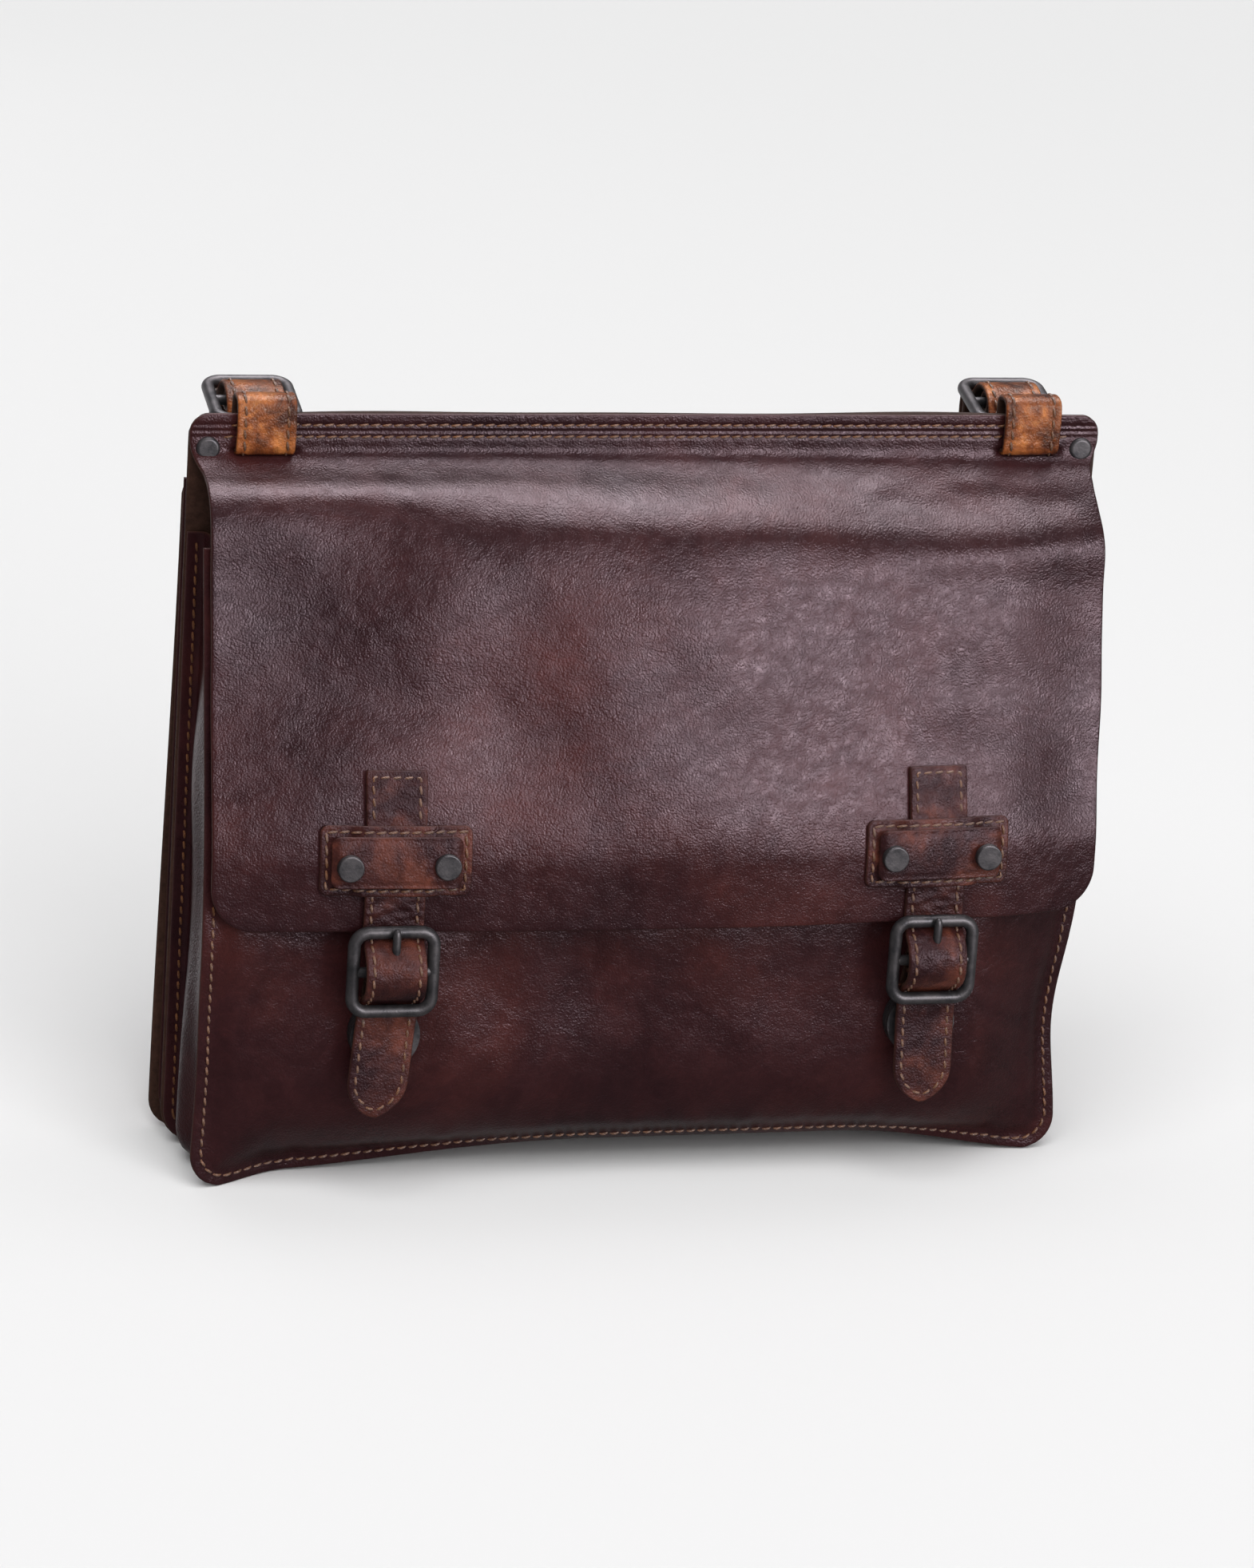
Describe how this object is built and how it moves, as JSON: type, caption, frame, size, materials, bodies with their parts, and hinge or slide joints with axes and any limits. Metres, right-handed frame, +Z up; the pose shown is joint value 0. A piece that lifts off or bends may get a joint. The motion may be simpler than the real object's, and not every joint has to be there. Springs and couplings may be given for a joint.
{
  "type": "satchel bag",
  "caption": "Flapped leather satchel with buckled magnetic closures, a rear pocket and a buckled shoulder strap.",
  "frame": {"origin": "middle of the base, on the surface that the bag stands on", "axes": "+Z up, +X towards the bag's right seen from the front, -Y out of the front"},
  "size_m": [0.385, 0.1511, 0.3245],
  "materials": {
    "body_leather": "waxed, glossy, softly creased",
    "inner_leather": "matt flesh side",
    "tan_leather": "burnished, mottled",
    "hardware": "matt gunmetal",
    "board": "cloth-covered stiffener"
  },
  "bodies": {
    "bag": {"back_panel": "body_leather", "flap_top_band": "body_leather", "front_panel": "body_leather", "main_gusset": "body_leather", "rear_pocket_panel": "body_leather", "rear_pocket_gusset": "body_leather", "bottom_board": "board", "inner_pocket": "inner_leather", "corner_rivets": "hardware", "left_magnet_base": "hardware", "left_top_loop": "tan_leather", "right_magnet_base": "hardware", "right_top_loop": "tan_leather"},
    "flap": {"flap": "body_leather", "left_closure_strap": "body_leather", "left_closure_patch": "body_leather", "left_closure_bridge": "body_leather", "left_closure_studs": "hardware", "right_closure_strap": "body_leather", "right_closure_patch": "body_leather", "right_closure_bridge": "body_leather", "right_closure_studs": "hardware"},
    "left_closure": {"left_closure_run": "body_leather", "left_closure_buckle": "hardware", "left_closure_chape": "body_leather", "left_magnet_cap": "hardware"},
    "left_closure_prong": {"left_closure_prong": "hardware"},
    "left_closure_tongue": {"left_closure_tongue": "body_leather"},
    "left_rear_buckle": {"left_rear_billet": "tan_leather", "left_rear_buckle": "hardware", "left_rear_chape": "tan_leather"},
    "left_rear_prong": {"left_rear_prong": "hardware"},
    "right_closure": {"right_closure_run": "body_leather", "right_closure_buckle": "hardware", "right_closure_chape": "body_leather", "right_magnet_cap": "hardware"},
    "right_closure_prong": {"right_closure_prong": "hardware"},
    "right_closure_tongue": {"right_closure_tongue": "body_leather"},
    "right_rear_buckle": {"right_rear_billet": "tan_leather", "right_rear_buckle": "hardware", "right_rear_chape": "tan_leather"},
    "right_rear_prong": {"right_rear_prong": "hardware"},
    "shoulder_strap": {"shoulder_strap": "tan_leather", "left_billet_tongue": "tan_leather", "right_billet_tongue": "tan_leather"}
  },
  "joints": [
    {"name": "flap_hinge", "type": "hinge", "parent": "bag", "child": "flap", "pos_m": [0, 0.0033, 0.2864], "axis": [-1, 0, 0], "range_deg": [0, 130]},
    {"name": "left_closure_swing", "type": "hinge", "parent": "flap", "child": "left_closure", "pos_m": [-0.114, -0.0604, 0.132], "axis": [-1, 0, 0], "range_deg": [0, 100]},
    {"name": "left_prong_turn", "type": "hinge", "parent": "left_closure", "child": "left_closure_prong", "pos_m": [-0.114, -0.0651, 0.103], "axis": [1, 0, 0], "range_deg": [0, 45]},
    {"name": "left_tongue_swing", "type": "hinge", "parent": "left_closure", "child": "left_closure_tongue", "pos_m": [-0.114, -0.0608, 0.0786], "axis": [-1, 0, 0], "range_deg": [0, 75]},
    {"name": "left_rear_buckle_lift", "type": "hinge", "parent": "bag", "child": "left_rear_buckle", "pos_m": [-0.162, 0.0187, 0.3166], "axis": [1, 0, 0], "range_deg": [0, 55]},
    {"name": "left_rear_prong_turn", "type": "hinge", "parent": "left_rear_buckle", "child": "left_rear_prong", "pos_m": [-0.162, 0.0409, 0.3135], "axis": [-1, 0, 0], "range_deg": [0, 45]},
    {"name": "right_closure_swing", "type": "hinge", "parent": "flap", "child": "right_closure", "pos_m": [0.114, -0.0604, 0.132], "axis": [-1, 0, 0], "range_deg": [0, 100]},
    {"name": "right_prong_turn", "type": "hinge", "parent": "right_closure", "child": "right_closure_prong", "pos_m": [0.114, -0.0651, 0.103], "axis": [1, 0, 0], "range_deg": [0, 45]},
    {"name": "right_tongue_swing", "type": "hinge", "parent": "right_closure", "child": "right_closure_tongue", "pos_m": [0.114, -0.0608, 0.0786], "axis": [-1, 0, 0], "range_deg": [0, 75]},
    {"name": "right_rear_buckle_lift", "type": "hinge", "parent": "bag", "child": "right_rear_buckle", "pos_m": [0.162, 0.0187, 0.3166], "axis": [1, 0, 0], "range_deg": [0, 55]},
    {"name": "right_rear_prong_turn", "type": "hinge", "parent": "right_rear_buckle", "child": "right_rear_prong", "pos_m": [0.162, 0.0409, 0.3135], "axis": [-1, 0, 0], "range_deg": [0, 45]},
    {"name": "strap_swing", "type": "hinge", "parent": "left_rear_buckle", "child": "shoulder_strap", "pos_m": [0, 0.06481, 0.31173], "axis": [1, 0, 0], "range_deg": [0, 120]}
  ],
  "couplings": [
    {"joint": "right_rear_buckle_lift", "follows": "left_rear_buckle_lift", "ratio": 1}
  ]
}
